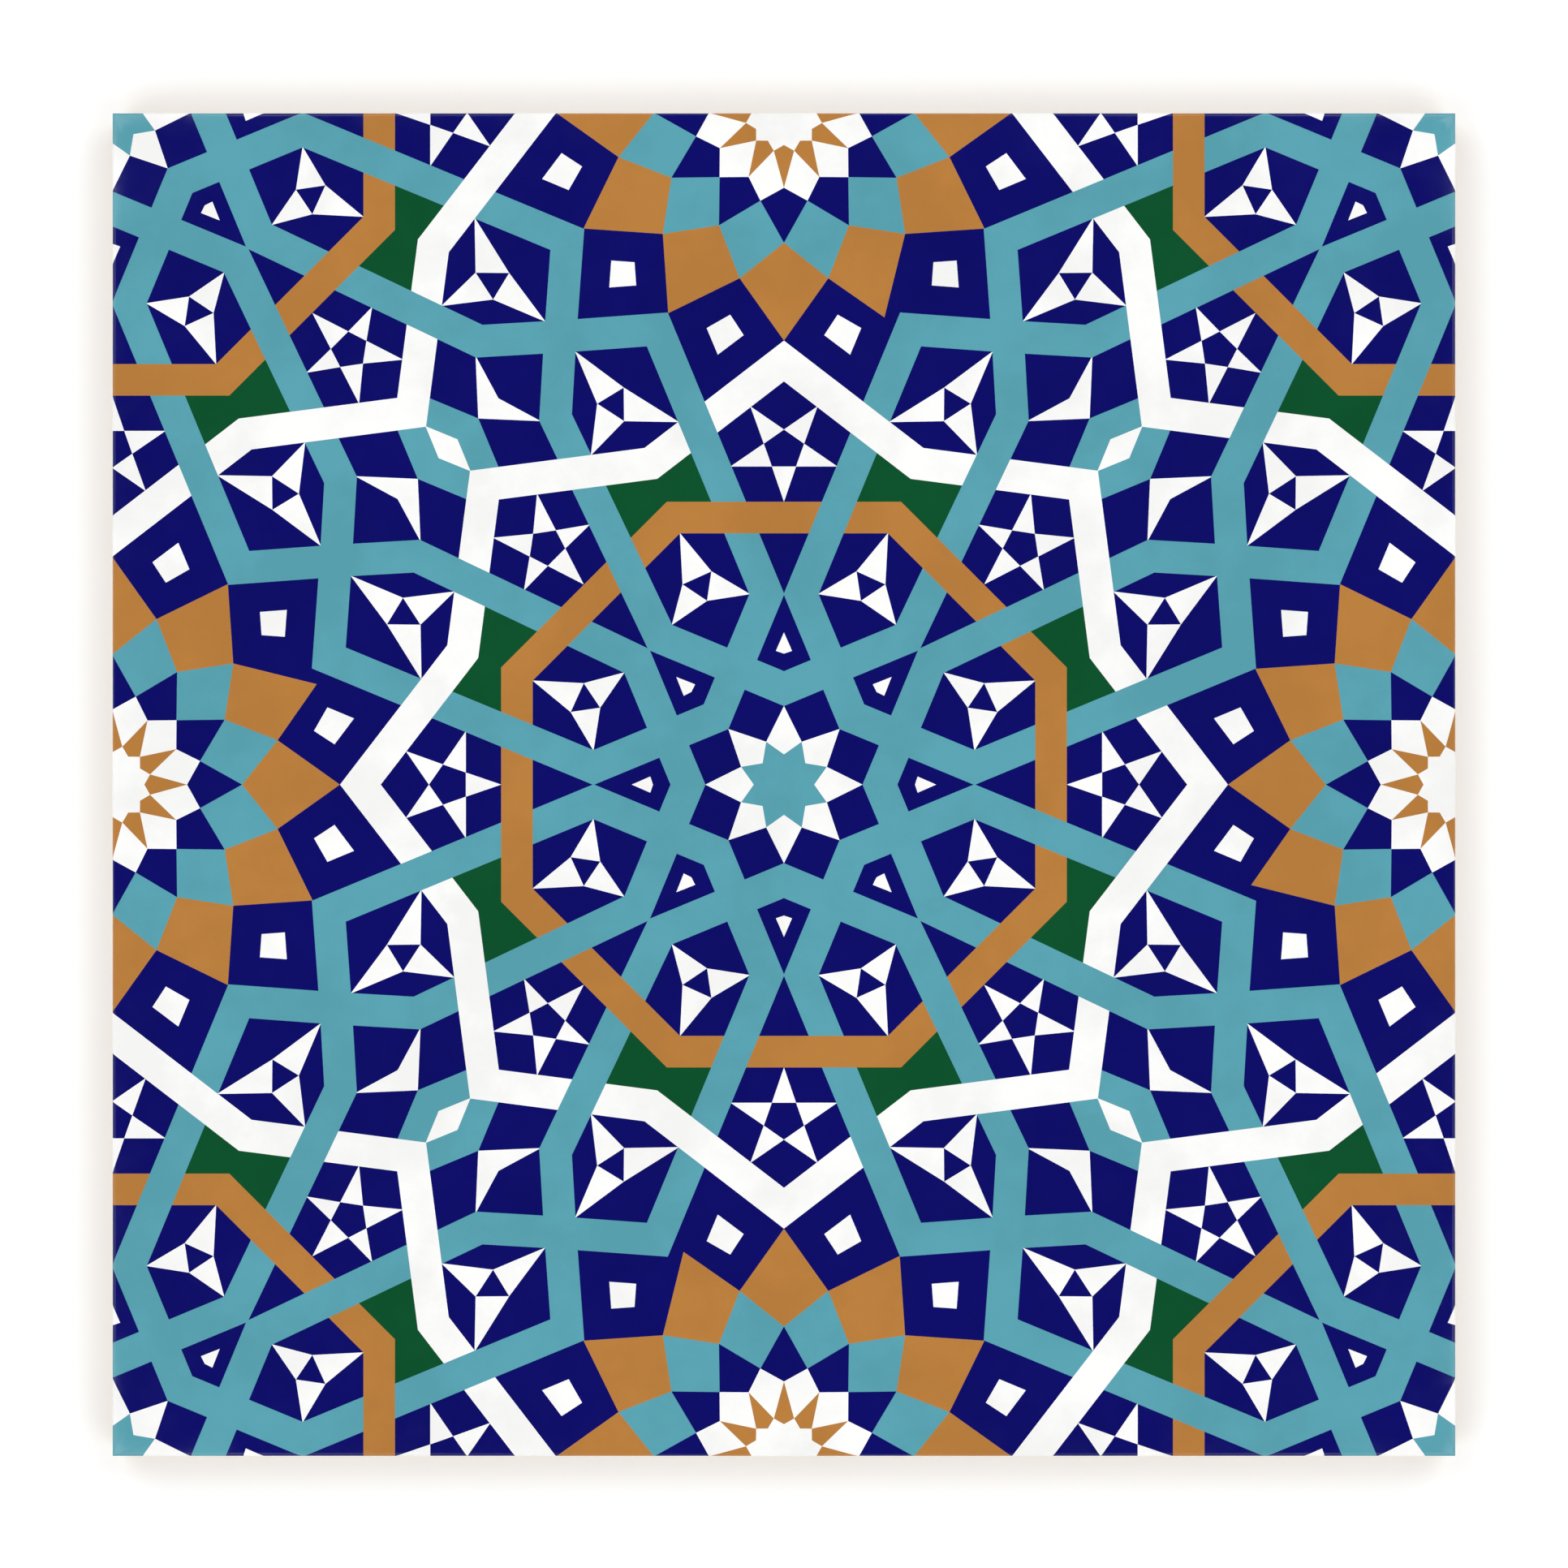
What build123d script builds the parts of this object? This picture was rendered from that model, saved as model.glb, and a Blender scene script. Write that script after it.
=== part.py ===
from build123d import *
import os

# A square glazed ceramic tile, pressed and fired as one piece.
# It lies on its back: the rib faces are at Z = 0 and the glazed face looks up.
# The origin is the centre of the back, and X and Y run along the sides.
# All sizes are in millimetres and degrees.

# Body
tile_side = 200.0
tile_thickness = 8.0
face_edge_radius = 0.5
back_edge_chamfer = 1.0

# Moulded back
rim_width = 6.0
rib_width = 3.0
pocket_side_about = 24.0
pocket_depth = 1.0
pocket_corner_radius = 2.5
pocket_draft = 30.0

# The pockets share the width inside the rim evenly
field_side = tile_side - 2 * rim_width
pockets_in_row = round((field_side + rib_width) / (pocket_side_about + rib_width))
pocket_pitch = (field_side + rib_width) / pockets_in_row
pocket_side = pocket_pitch - rib_width

with BuildPart() as tile:
    # Pressed body
    with BuildSketch():
        Rectangle(tile_side, tile_side)
    extrude(amount=tile_thickness)

    # The glaze rounds the edges of the face, and the die bevels those of the back
    fillet(tile.faces().sort_by(Axis.Z)[-1].edges(), face_edge_radius)
    chamfer(tile.faces().sort_by(Axis.Z)[0].edges(), back_edge_chamfer)

    # Pockets in the back, wider at the mouth so that the tile leaves its mould
    with BuildSketch():
        with GridLocations(pocket_pitch, pocket_pitch, pockets_in_row, pockets_in_row):
            RectangleRounded(pocket_side, pocket_side, pocket_corner_radius)
    extrude(amount=pocket_depth, taper=pocket_draft, mode=Mode.SUBTRACT)

tile.part.label = "tile"

os.makedirs("parts", exist_ok=True)
export_step(tile.part, "parts/tile.step")
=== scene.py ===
from cmath import phase, rect
from itertools import product
from math import cos, radians, sin, sqrt

import bmesh
import bpy
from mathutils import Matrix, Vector
from mathutils.geometry import delaunay_2d_cdt


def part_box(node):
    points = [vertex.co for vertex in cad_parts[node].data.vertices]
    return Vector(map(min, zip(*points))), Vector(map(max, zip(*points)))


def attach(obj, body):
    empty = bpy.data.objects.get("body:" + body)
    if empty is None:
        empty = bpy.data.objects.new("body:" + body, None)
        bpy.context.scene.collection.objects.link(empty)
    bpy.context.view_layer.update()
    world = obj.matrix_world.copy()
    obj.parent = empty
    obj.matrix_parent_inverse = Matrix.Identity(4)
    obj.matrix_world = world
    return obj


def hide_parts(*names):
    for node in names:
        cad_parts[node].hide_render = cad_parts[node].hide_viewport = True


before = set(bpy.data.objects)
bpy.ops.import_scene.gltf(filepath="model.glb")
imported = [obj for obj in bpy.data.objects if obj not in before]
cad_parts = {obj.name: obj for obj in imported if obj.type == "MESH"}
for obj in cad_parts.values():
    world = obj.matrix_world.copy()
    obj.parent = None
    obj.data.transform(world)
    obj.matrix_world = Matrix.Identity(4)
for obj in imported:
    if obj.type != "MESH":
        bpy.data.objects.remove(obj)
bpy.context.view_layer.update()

# A glazed tile with an interlaced pattern of eight-pointed stars and twelve-petalled rosettes.
# It lies on its back, and the pattern's mesh follows the round edge of the glazed face.

# Tile, in metres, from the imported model. A millimetre is one on a tile 200 mm wide.
tile_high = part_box("tile")[1]
HALF_SIDE = tile_high.x
TOP = tile_high.z
DRAWN_HALF_SIDE = 100
MM = HALF_SIDE / DRAWN_HALF_SIDE
FACE_EDGE_RADIUS = 0.5 * MM
FACE_EDGE_STEPS = 6
BACK_HEIGHT = 1.0 * MM
WELD = 0.01 * MM

# Places on the tile's texture map, in thirds of its side.
# Each glaze has the whole face in one third by one, and the clay has two thirds by two.
MAP_THIRDS = {"blue": 0, "teal": 1, "brown": 2, "green": 1j, "white": 2j, "clay": 1 + 1j}
MAP_MARGIN = 2.0 * MM
SIDE_ROW = TOP + MAP_MARGIN

# Colours of the glazes, the bare clay and the engobe, from 0 to 255 as on a screen
GLAZES = {
    "blue": (12, 12, 105),
    "teal": (90, 163, 178),
    "brown": (186, 127, 62),
    "green": (12, 82, 45),
    "white": (252, 252, 251),
}
CLAY = (214, 192, 163)
ENGOBE = (236, 232, 224)

# The pattern is drawn in millimetres. A point is a complex number, x + y * 1j from the tile's centre.
# The drawn piece lies between a star, a rosette and a cross, and sixteen mirrored copies fill the tile.
STAR = 0
ROSETTE = DRAWN_HALF_SIDE * 1j
CROSS = DRAWN_HALF_SIDE * (0.5 + 0.5j)
STRAP_WIDTH = 4.8
BAND_WIDTH = 4.7

# Layers in the order of painting, over a blue ground
SHAPES, CORES, STRAPS, BANDS, OVER, TIPS = range(6)


# Drawing aids

def polar(radius, turn, centre=STAR):
    """The point at a radius from a centre, turned clockwise from straight up by degrees."""
    return centre + rect(radius, radians(90 - turn))


def from_rosette(radius, turn):
    """The point at a radius from the rosette, turned from straight down towards the right."""
    return polar(radius, 180 - turn, ROSETTE)


def over_upright(point):
    """The mirror image in the upright line through the star."""
    return -point.conjugate()


def over_diagonal(point):
    """The mirror image in the line from the star to the cross."""
    return 1j * point.conjugate()


def through_cross(point):
    """The point on the other side of the cross."""
    return 2 * CROSS - point


def over_side(point):
    """The mirror image in the line from the rosette to the cross."""
    return through_cross(over_diagonal(point))


def middle(a, b):
    return (a + b) / 2


def meet(a, b, c, d):
    """Where the line through a and b meets the line through c and d."""
    first, second, gap = b - a, d - c, c - a
    return a + first * (gap.conjugate() * second).imag / (first.conjugate() * second).imag


def shifted(a, b, distance):
    """The line from a to b, moved to its left."""
    step = 1j * (b - a) / abs(b - a) * distance
    return a + step, b + step


def strap(route, width):
    """One outline for each run of a strap along a route, with mitred corners."""
    rails = []
    for distance in (width / 2, -width / 2):
        rail = [shifted(route[0], route[1], distance)[0]]
        for a, b, c in zip(route, route[1:], route[2:]):
            rail.append(meet(*shifted(a, b, distance), *shifted(b, c, distance)))
        rail.append(shifted(route[-2], route[-1], distance)[1])
        rails.append(rail)
    left, right = rails
    return [[right[k], right[k + 1], left[k + 1], left[k]] for k in range(len(route) - 1)]


def crossing(one, one_width, other, other_width):
    """The outline where two straps cross, each given by two points and its width."""
    return [
        meet(*shifted(*one, s * one_width / 2), *shifted(*other, t * other_width / 2))
        for s, t in ((1, 1), (1, -1), (-1, -1), (-1, 1))
    ]


def star_outline(tips, notches):
    return [point for pair in zip(tips, notches) for point in pair]


# Routes of the straps, the ring and the octagon
bar_reach, bar_half_length = 13.2, 12
bar_middles = [polar(bar_reach, turn) for turn in (67.5, 22.5, -22.5)]
near_upright = 2.55 + 28.35j
near_diagonal = 18.4 + 21.9j
past_rosette = 18.85 + 67.75j
past_cross = 34.0 + 54.65j
strap_corner = 33.3 + 66.7j
ring_tip, ring_notch = 63.05, 51.75
ring = [polar(ring_notch if k % 2 else ring_tip, 22.5 * k) for k in range(-1, 4)]
octagon_reach = 39.75
octagon = [polar(octagon_reach / cos(radians(22.5)), 22.5 + 45 * k) for k in range(-2, 3)]
upright_run = (near_upright, past_rosette)
diagonal_run = (near_diagonal, past_cross)
cross_corner = 45.5 + 54.5j


# The shapes of the drawn piece, as (layer, colour, outline)

def straps_and_bands(upright_over_octagon):
    """Teal straps, the brown octagon and the white ring, which pass over and under in turn."""
    routes = (
        [bar_middles[0], *upright_run, strap_corner, middle(strap_corner, over_side(past_cross))],
        [bar_middles[2], *diagonal_run, strap_corner, middle(strap_corner, over_side(past_rosette))],
    )
    half_bar = rect(bar_half_length, radians(157.5))
    for route in (*routes, [bar_middles[1] - half_bar, bar_middles[1] + half_bar]):
        for outline in strap(route, STRAP_WIDTH):
            yield STRAPS, "teal", outline
    for outline in strap(octagon, BAND_WIDTH)[1:-1]:
        yield BANDS, "brown", outline
    for outline in strap(ring, STRAP_WIDTH)[1:-1]:
        yield BANDS, "white", outline
    if upright_over_octagon:
        yield OVER, "teal", crossing(upright_run, STRAP_WIDTH, octagon[1:3], BAND_WIDTH)
        yield OVER, "teal", crossing(diagonal_run, STRAP_WIDTH, ring[2:4], STRAP_WIDTH)
    else:
        yield OVER, "teal", crossing(diagonal_run, STRAP_WIDTH, octagon[2:4], BAND_WIDTH)
        yield OVER, "teal", crossing(upright_run, STRAP_WIDTH, ring[1:3], STRAP_WIDTH)


def green_field():
    """The green piece between the octagon, the ring and two straps."""
    yield SHAPES, "green", [
        meet(*upright_run, *ring[1:3]), ring[2], meet(*ring[2:4], *diagonal_run),
        meet(*diagonal_run, *octagon[2:4]), octagon[2], meet(*octagon[1:3], *upright_run),
    ]


def three_pointed_stars():
    """White stars with a blue triangle in the middle, one inside the octagon and one outside."""
    inside = ([5.05 + 28.35j, 15.5 + 37.45j, 16.7 + 23.75j],
              [10.8 + 31.75j, 15.1 + 29.8j, 11.45 + 27.35j])
    outside = ([15.6 + 53.95j, 31.1 + 64.5j, 28.75 + 49.0j],
               [23.85 + 59.1j, 27.8 + 56.7j, 23.8 + 54.1j])
    for tips, notches in (inside, outside):
        yield SHAPES, "white", star_outline(tips, notches)
        yield CORES, "blue", notches


def five_pointed_stars():
    """White stars with a blue middle, on the upright line and on the diagonal."""
    upright = (over_upright, 42.1j, [7.95 + 47.35j, 5.0 + 56.3j],
               [1.8 + 47.35j, 3.0 + 50.75j], 52.85j)
    diagonal = (over_diagonal, polar(42.15, 45), [28.9 + 38.7j, 36.75 + 43.3j],
                [32.55 + 35.15j, 33.95 + 37.85j], polar(52.8, 45))
    for mirrored, near_tip, tips, notches, far_notch in (upright, diagonal):
        tips = [near_tip, *tips, mirrored(tips[1]), mirrored(tips[0])]
        notches = [*notches, far_notch, mirrored(notches[1]), mirrored(notches[0])]
        yield SHAPES, "white", star_outline(tips, notches)
        yield CORES, "blue", notches


def small_marks():
    """White marks round the star and beside the rosette, and the arrowhead by the cross."""
    for turn in (0, 45):
        lean = rect(1, -radians(turn))
        yield SHAPES, "white", [
            polar(22.65, turn), (1.2 + 19.9j) * lean, polar(19.5, turn), (-1.2 + 19.9j) * lean,
        ]
    yield SHAPES, "white", [8.0 + 69.95j, 11.5 + 67.95j, 9.85 + 64.0j, 6.0 + 66.9j]
    yield SHAPES, "white", [22.25 + 77.75j, 25.7 + 78.0j, 26.0 + 74.0j, 22.0 + 74.3j]
    barb = 36.2 + 54.1j
    yield SHAPES, "white", [barb, cross_corner, over_side(barb), 42.5 + 57.5j]


def cross():
    """The teal cross between two rings, with a white middle."""
    side_length, side_lean = 8.4, radians(67.4)
    bend = cross_corner - rect(side_length, side_lean)
    half = [cross_corner, bend, polar(ring_tip, 45), over_diagonal(bend), over_diagonal(cross_corner)]
    yield STRAPS, "teal", half + [through_cross(point) for point in half[1:4]]
    tip, side = 46.65 + 46.65j, 48.6 + 51.4j
    yield BANDS, "white", [tip, side, through_cross(tip), through_cross(side)]


def star_centre():
    """The teal eight-pointed star, in a white one, in a ring of blue pieces."""
    teal_notch, teal_tip, white_tip, blue_tip = 4.5, 6.9, 11.7, 15.3
    yield OVER, "blue", [
        polar(white_tip, 0), polar(blue_tip, 22.5), polar(white_tip, 45), polar(teal_tip, 22.5),
    ]
    for turn in (0, 45):
        left, right = polar(teal_tip, turn - 22.5), polar(teal_tip, turn + 22.5)
        notch = polar(teal_notch, turn)
        yield OVER, "white", [notch, right, polar(white_tip, turn), left]
        yield TIPS, "teal", [STAR, left, notch, right]


def rosette(slipped):
    """Rings of brown, teal and blue pieces round a white star with brown points."""
    point_inner, point_side, white_tip, blue_tip, teal_tip = 4.8, 5.85, 13.55, 19.35, 25.5
    white_notches = {0: from_rosette(11.15, 0), 30: from_rosette(10.9, 28.9), 60: from_rosette(10.9, 61.1)}
    brown_tips = {0: from_rosette(33.9, 0), 30: 14.95 + 69.55j if slipped else from_rosette(34.45, 30)}
    for turn, tip in brown_tips.items():
        yield OVER, "brown", [
            from_rosette(blue_tip, turn), from_rosette(teal_tip, turn + 15),
            tip, from_rosette(teal_tip, turn - 15),
        ]
    for turn, notch in white_notches.items():
        left, right = from_rosette(white_tip, turn - 15), from_rosette(white_tip, turn + 15)
        outer = from_rosette(blue_tip, turn)
        yield OVER, "blue", [notch, right, outer, left]
        yield OVER, "teal", [
            right, outer, from_rosette(teal_tip, turn + 15), from_rosette(blue_tip, turn + 30),
        ]
        yield OVER, "white", [ROSETTE, left, notch, right]
        yield TIPS, "brown", [
            from_rosette(point_inner, turn), from_rosette(point_side, turn + 15),
            notch, from_rosette(point_side, turn - 15),
        ]


def drawn_piece(upright_over_octagon, slipped):
    yield from green_field()
    yield from three_pointed_stars()
    yield from five_pointed_stars()
    yield from small_marks()
    yield from straps_and_bands(upright_over_octagon)
    yield from cross()
    yield from star_centre()
    yield from rosette(slipped)


def placed(point, quarter, flipped, swapped):
    """Where a point of the drawn piece lies in one of its copies."""
    if swapped:
        point = over_side(point)
    if flipped:
        point = over_upright(point)
    return point * 1j ** quarter


def painted_outlines():
    """Every outline on the tile in the order of painting, as (colour, points)."""
    shapes = []
    for quarter, flipped, swapped in product(range(4), (False, True), (False, True)):
        for layer, colour, outline in drawn_piece(flipped == swapped, not (flipped or swapped)):
            points = [placed(complex(point), quarter, flipped, swapped) for point in outline]
            shapes.append((layer, colour, points))
    shapes.sort(key=lambda shape: shape[0])
    return [(colour, points) for _, colour, points in shapes]


# Mesh of the tile

def square(half):
    return [complex(-half, -half), complex(half, -half), complex(half, half), complex(-half, half)]


def encloses(outline, point):
    """Whether a point lies in an outline: a line from it to the right then crosses an odd number of sides."""
    odd = False
    for a, b in zip(outline, outline[1:] + outline[:1]):
        if (a.imag > point.imag) != (b.imag > point.imag):
            share = (point.imag - a.imag) / (b.imag - a.imag)
            odd ^= point.real < a.real + share * (b.real - a.real)
    return odd


def colour_at(point, painted):
    """The colour of the topmost outline over a point, or else of the ground."""
    for colour, outline, reach in reversed(painted):
        if abs(point - outline[0]) < reach and encloses(outline, point):
            return colour
    return "blue"


def face_triangles():
    """The glazed face cut along every outline, as (colour, corners) in metres."""
    painted = []
    for colour, outline in painted_outlines():
        outline = [point * MM for point in outline]
        painted.append((colour, outline, max(abs(corner - outline[0]) for corner in outline)))
    turns = [radians(90) * k / FACE_EDGE_STEPS for k in range(FACE_EDGE_STEPS + 1)]
    cuts = [square(HALF_SIDE - FACE_EDGE_RADIUS * (1 - sin(turn))) for turn in turns]
    cuts += [outline for _, outline, _ in painted]
    points, loops = [], []
    for outline in cuts:
        loops.append(range(len(points), len(points) + len(outline)))
        points += [Vector((point.real, point.imag)) for point in outline]
    points, _, triangles, *_ = delaunay_2d_cdt(points, [], loops, 1, WELD)
    for triangle in triangles:
        corners = [points[k] for k in triangle]
        centre = sum((complex(*corner) for corner in corners), 0) / 3
        if encloses(cuts[FACE_EDGE_STEPS], centre):
            yield colour_at(centre, painted), corners


def on_face(point):
    """The point of the glazed face above a flat one: level inside, and round at the edge."""
    past = max(abs(point.x), abs(point.y)) - (HALF_SIDE - FACE_EDGE_RADIUS)
    drop = FACE_EDGE_RADIUS - sqrt(max(FACE_EDGE_RADIUS ** 2 - max(past, 0) ** 2, 0))
    return Vector((point.x, point.y, TOP - drop))


def back_faces(node):
    """The corners of each face of the moulded back, as packed."""
    for polygon in node.data.polygons:
        corners = [node.data.vertices[k].co for k in polygon.vertices]
        if max(corner.z for corner in corners) < BACK_HEIGHT + WELD:
            yield corners


def add_face(bm, corners, material_index, smooth):
    face = bm.faces.new([bm.verts.new(corner) for corner in corners])
    face.material_index = material_index
    face.smooth = smooth


def add_sides(bm, material_index):
    """Closes each side with one flat wall, from the rim of the face to the rim of the back."""
    for axis, sign in product((0, 1), (1, -1)):
        rim = [vert for vert in bm.verts if abs(vert.co[axis] - sign * HALF_SIDE) < WELD]
        rim.sort(key=lambda vert: vert.co[1 - axis])
        upper = [vert for vert in rim if vert.co.z > TOP / 2]
        lower = [vert for vert in rim if vert.co.z < TOP / 2]
        wall = bm.faces.new(upper + lower[::-1])
        wall.material_index = material_index
        wall.smooth = False


def clay_place(corner, normal):
    """Where a corner of the clay lies with the back laid flat, and the four sides in rows beyond it."""
    place = complex(corner.x, corner.y)
    on_back = normal.z < -0.1
    if on_back:
        return over_upright(place)
    side = round(phase(complex(normal.x, normal.y)) / radians(90)) % 4
    along = (place * 1j ** -side).imag
    return complex(along, HALF_SIDE + SIDE_ROW * (side + 1) - TOP + corner.z)


def map_place(corner, normal, colour):
    """The place of a face's corner on the texture map, as seen from outside the tile."""
    place, room, thirds = complex(corner.x, corner.y), 2 * HALF_SIDE, 1
    if colour == "clay":
        place, room, thirds = clay_place(corner, normal), room + 4 * SIDE_ROW, 2
    place += (1 + 1j) * (HALF_SIDE + MAP_MARGIN)
    place = (MAP_THIRDS[colour] + thirds * place / (room + 2 * MAP_MARGIN)) / 3
    return place.real, place.imag


def add_texture_map(bm, colours):
    """The map that the tile is baked through. No two colours meet on it."""
    layer = bm.loops.layers.uv.new("OFBake")
    for face in bm.faces:
        for loop in face.loops:
            loop[layer].uv = map_place(loop.vert.co, face.normal, colours[face.material_index])


def tile_mesh(node, materials):
    """One closed mesh: the patterned face, four sides and the moulded back."""
    index = {name: k for k, name in enumerate(materials)}
    bm = bmesh.new()
    for corners in back_faces(node):
        add_face(bm, corners, index["clay"], True)
    for colour, corners in face_triangles():
        corners = [on_face(corner) for corner in corners]
        level = min(corner.z for corner in corners) > TOP - WELD
        add_face(bm, corners, index[colour], not level)
    bmesh.ops.remove_doubles(bm, verts=bm.verts, dist=WELD)
    add_sides(bm, index["clay"])
    bmesh.ops.recalc_face_normals(bm, faces=bm.faces)
    add_texture_map(bm, list(materials))
    mesh = bpy.data.meshes.new("glazed_tile")
    bm.to_mesh(mesh)
    bm.free()
    for material in materials.values():
        mesh.materials.append(material)
    mesh.set_sharp_from_angle(angle=radians(30))
    return mesh


# Materials

def linear(colour, share=1.0):
    """A screen colour, times a share, as the light that it stands for."""
    light = [c / 255 / 12.92 if c <= 10 else ((c / 255 + 0.055) / 1.055) ** 2.4 for c in colour]
    return (*[share * c for c in light], 1)


def add_node(tree, kind, inputs=(), **settings):
    """A node with its settings. Inputs are pairs of a name or number and a value or a socket."""
    node = tree.nodes.new(kind)
    for name, value in settings.items():
        setattr(node, name, value)
    for name, value in inputs:
        if isinstance(value, bpy.types.NodeSocket):
            tree.links.new(value, node.inputs[name])
        else:
            node.inputs[name].default_value = value
    return node


def new_material(name):
    material = bpy.data.materials.new(name)
    material.use_nodes = True
    tree = material.node_tree
    place = add_node(tree, "ShaderNodeTexCoord").outputs["Object"]
    return material, tree, tree.nodes["Principled BSDF"], place


def noise(tree, place, size, detail=2.0, roughness=0.5):
    """Noise whose blotches are about as large as size, in metres."""
    inputs = [("Vector", place), ("Scale", 1 / size), ("Detail", detail), ("Roughness", roughness)]
    return add_node(tree, "ShaderNodeTexNoise", inputs).outputs["Fac"]


def ramp(tree, value, start, end, low, high):
    """The value's range from start to end, mapped smoothly to low to high."""
    inputs = [("Value", value), ("From Min", start), ("From Max", end), ("To Min", low), ("To Max", high)]
    return add_node(tree, "ShaderNodeMapRange", inputs, interpolation_type="SMOOTHSTEP").outputs["Result"]


def calculate(tree, operation, *values):
    """The result of a Math node."""
    return add_node(tree, "ShaderNodeMath", enumerate(values), operation=operation).outputs["Value"]


def blend(tree, share, low, high):
    """A colour between two, each a colour or a socket."""
    inputs = [(0, share), (6, low), (7, high)]
    return add_node(tree, "ShaderNodeMix", inputs, data_type="RGBA").outputs[2]


def bump(tree, height, depth, *under):
    """The normal of a surface that height raises by up to depth, in metres, over another normal if given."""
    inputs = [("Height", height), ("Distance", depth), *[("Normal", normal) for normal in under]]
    return add_node(tree, "ShaderNodeBump", inputs).outputs["Normal"]


def glaze(name, colour):
    """Fired glaze: its colour is thinner here and there, and its glossy surface waves a little."""
    cloud_size, gloss_size, wave_size, peel_size = 14 * MM, 5 * MM, 22 * MM, 1.6 * MM
    wave_depth, peel_depth = 0.25 * MM, 0.008 * MM
    material, tree, shader, place = new_material("glaze_" + name)
    pooled, thin = linear(colour, 0.94), linear(colour, 1.03)
    cloud = ramp(tree, noise(tree, place, cloud_size, 6, 0.6), 0.36, 0.64, 0, 1)
    tree.links.new(blend(tree, cloud, pooled, thin), shader.inputs["Base Color"])
    roughness = ramp(tree, noise(tree, place, gloss_size, 4), 0.3, 0.7, 0.08, 0.14)
    tree.links.new(roughness, shader.inputs["Roughness"])
    waves, peel = noise(tree, place, wave_size, 1), noise(tree, place, peel_size, 1)
    wavy = bump(tree, waves, wave_depth)
    tree.links.new(bump(tree, peel, peel_depth, wavy), shader.inputs["Normal"])
    return material


def bare_clay():
    """Pressed and fired clay, grainy, with a film of white engobe run over the top of the sides."""
    grain_size, grain_depth, run_size, run_reach = 0.7 * MM, 0.05 * MM, 6 * MM, 2.4 * MM
    film_start, film_end = TOP - 0.5 * MM, TOP + 0.1 * MM
    material, tree, shader, place = new_material("clay")
    grains = ramp(tree, noise(tree, place, grain_size, 3, 0.7), 0.3, 0.7, 0, 1)
    body = blend(tree, grains, linear(CLAY, 0.82), linear(CLAY, 1.06))
    height = add_node(tree, "ShaderNodeSeparateXYZ", [("Vector", place)]).outputs["Z"]
    run = calculate(tree, "MULTIPLY_ADD", noise(tree, place, run_size, 3), run_reach, height)
    film = ramp(tree, run, film_start, film_end, 0, 1)
    tree.links.new(blend(tree, film, body, linear(ENGOBE)), shader.inputs["Base Color"])
    tree.links.new(ramp(tree, film, 0, 1, 0.85, 0.3), shader.inputs["Roughness"])
    tree.links.new(bump(tree, grains, grain_depth), shader.inputs["Normal"])
    return material


# Studio

def aim(thing, target):
    thing.rotation_euler = (Vector(target) - thing.location).to_track_quat("-Z", "Y").to_euler()


def add_floor():
    """A pale floor that keeps the tile's soft shadow, and turns plain white further out."""
    mesh = bpy.data.meshes.new("floor")
    reach, near, far = 4.0, 0.3, 1.2
    mesh.from_pydata([(point.real, point.imag, 0) for point in square(reach)], [], [(0, 1, 2, 3)])
    floor = bpy.data.objects.new("floor", mesh)
    bpy.context.scene.collection.objects.link(floor)
    material, tree, shader, place = new_material("floor")
    shader.inputs["Base Color"].default_value = (0.96, 0.96, 0.96, 1)
    shader.inputs["Roughness"].default_value = 1
    shader.inputs["Specular IOR Level"].default_value = 0
    shader.inputs["Emission Color"].default_value = (1, 1, 1, 1)
    distance = add_node(tree, "ShaderNodeVectorMath", [(0, place)], operation="LENGTH").outputs["Value"]
    strength = ramp(tree, distance, near, far, 0.1, 1)
    rays = add_node(tree, "ShaderNodeLightPath").outputs
    seen = calculate(tree, "ADD", rays["Is Camera Ray"], rays["Is Glossy Ray"])
    seen = calculate(tree, "ADD", seen, rays["Is Transmission Ray"])
    tree.links.new(calculate(tree, "MULTIPLY", seen, strength), shader.inputs["Emission Strength"])
    mesh.materials.append(material)


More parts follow.
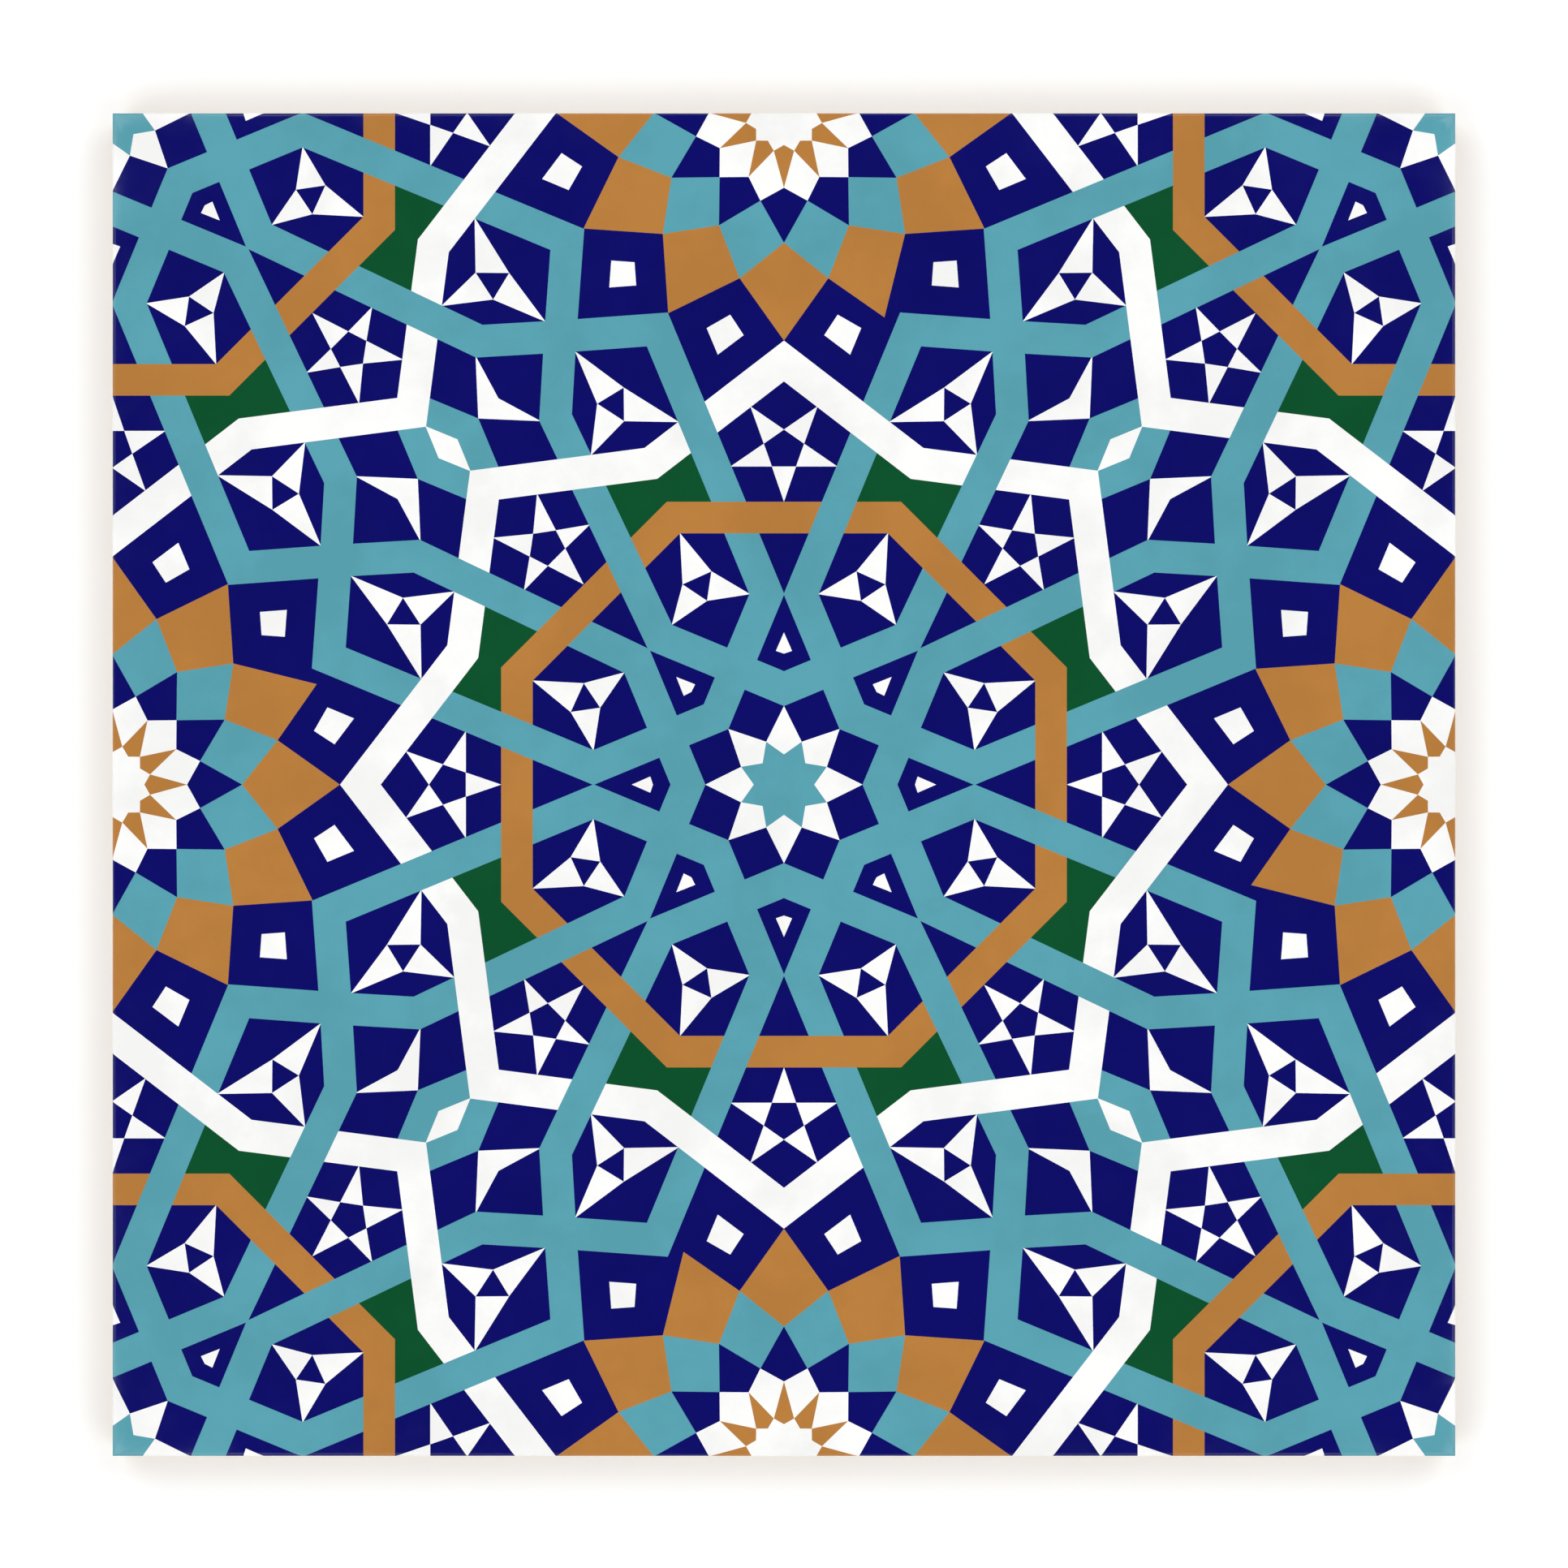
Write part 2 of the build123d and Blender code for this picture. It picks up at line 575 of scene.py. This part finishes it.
def add_lamps():
    """Four soft lamps all round, half-way up, so that the level face mirrors none of them upwards."""
    distance, rise, size, power = 1.3, radians(48), 0.9, 5.3
    for k in range(4):
        lamp = bpy.data.lights.new(f"lamp_{k}", "AREA")
        lamp.size = size
        lamp.energy = power
        thing = bpy.data.objects.new(f"lamp_{k}", lamp)
        bpy.context.scene.collection.objects.link(thing)
        across = rect(distance * cos(rise), radians(45 + 90 * k))
        thing.location = (across.real, across.imag, distance * sin(rise))
        aim(thing, (0, 0, 0))


def set_world():
    """White at the horizon, soft grey walls, and a dark ceiling that the level face mirrors upwards."""
    world = bpy.data.worlds.new("studio")
    world.use_nodes = True
    tree = world.node_tree
    place = add_node(tree, "ShaderNodeTexCoord").outputs["Generated"]
    height = add_node(tree, "ShaderNodeSeparateXYZ", [("Vector", place)]).outputs["Z"]
    horizon, walls = ramp(tree, height, 0.1, 0.25, 0.6, 0), ramp(tree, height, 0.5, 0.85, 0.4, 0.03)
    tree.links.new(calculate(tree, "ADD", horizon, walls), tree.nodes["Background"].inputs["Strength"])
    tree.nodes["Background"].inputs["Color"].default_value = (1, 1, 1, 1)
    bpy.context.scene.world = world


def add_camera():
    """Straight above the tile, which is as large and at the same place as in the photograph, in pixels."""
    picture, side_seen, centre_seen = 1932, 1655.6, 965.95 + 966.75j
    picture_centre = (0.5 + 0.5j) * picture
    camera = bpy.data.cameras.new("camera")
    camera.lens = 100
    camera.sensor_width = 36
    thing = bpy.data.objects.new("camera", camera)
    bpy.context.scene.collection.objects.link(thing)
    pixel = 2 * HALF_SIDE / side_seen
    aside = (picture_centre - centre_seen) * pixel
    height = TOP + picture * pixel * camera.lens / camera.sensor_width
    thing.location = (aside.real, -aside.imag, height)
    bpy.context.scene.camera = thing


materials = {name: glaze(name, colour) for name, colour in GLAZES.items()}
materials["clay"] = bare_clay()
tile = bpy.data.objects.new("glazed_tile", tile_mesh(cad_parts["tile"], materials))
bpy.context.scene.collection.objects.link(tile)
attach(tile, "root")
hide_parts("tile")

add_floor()
add_lamps()
set_world()
add_camera()
bpy.context.scene.view_settings.view_transform = "Standard"
# A bake through the texture map then fills the gaps beside each colour with that colour
bpy.context.scene.render.bake.margin_type = "EXTEND"
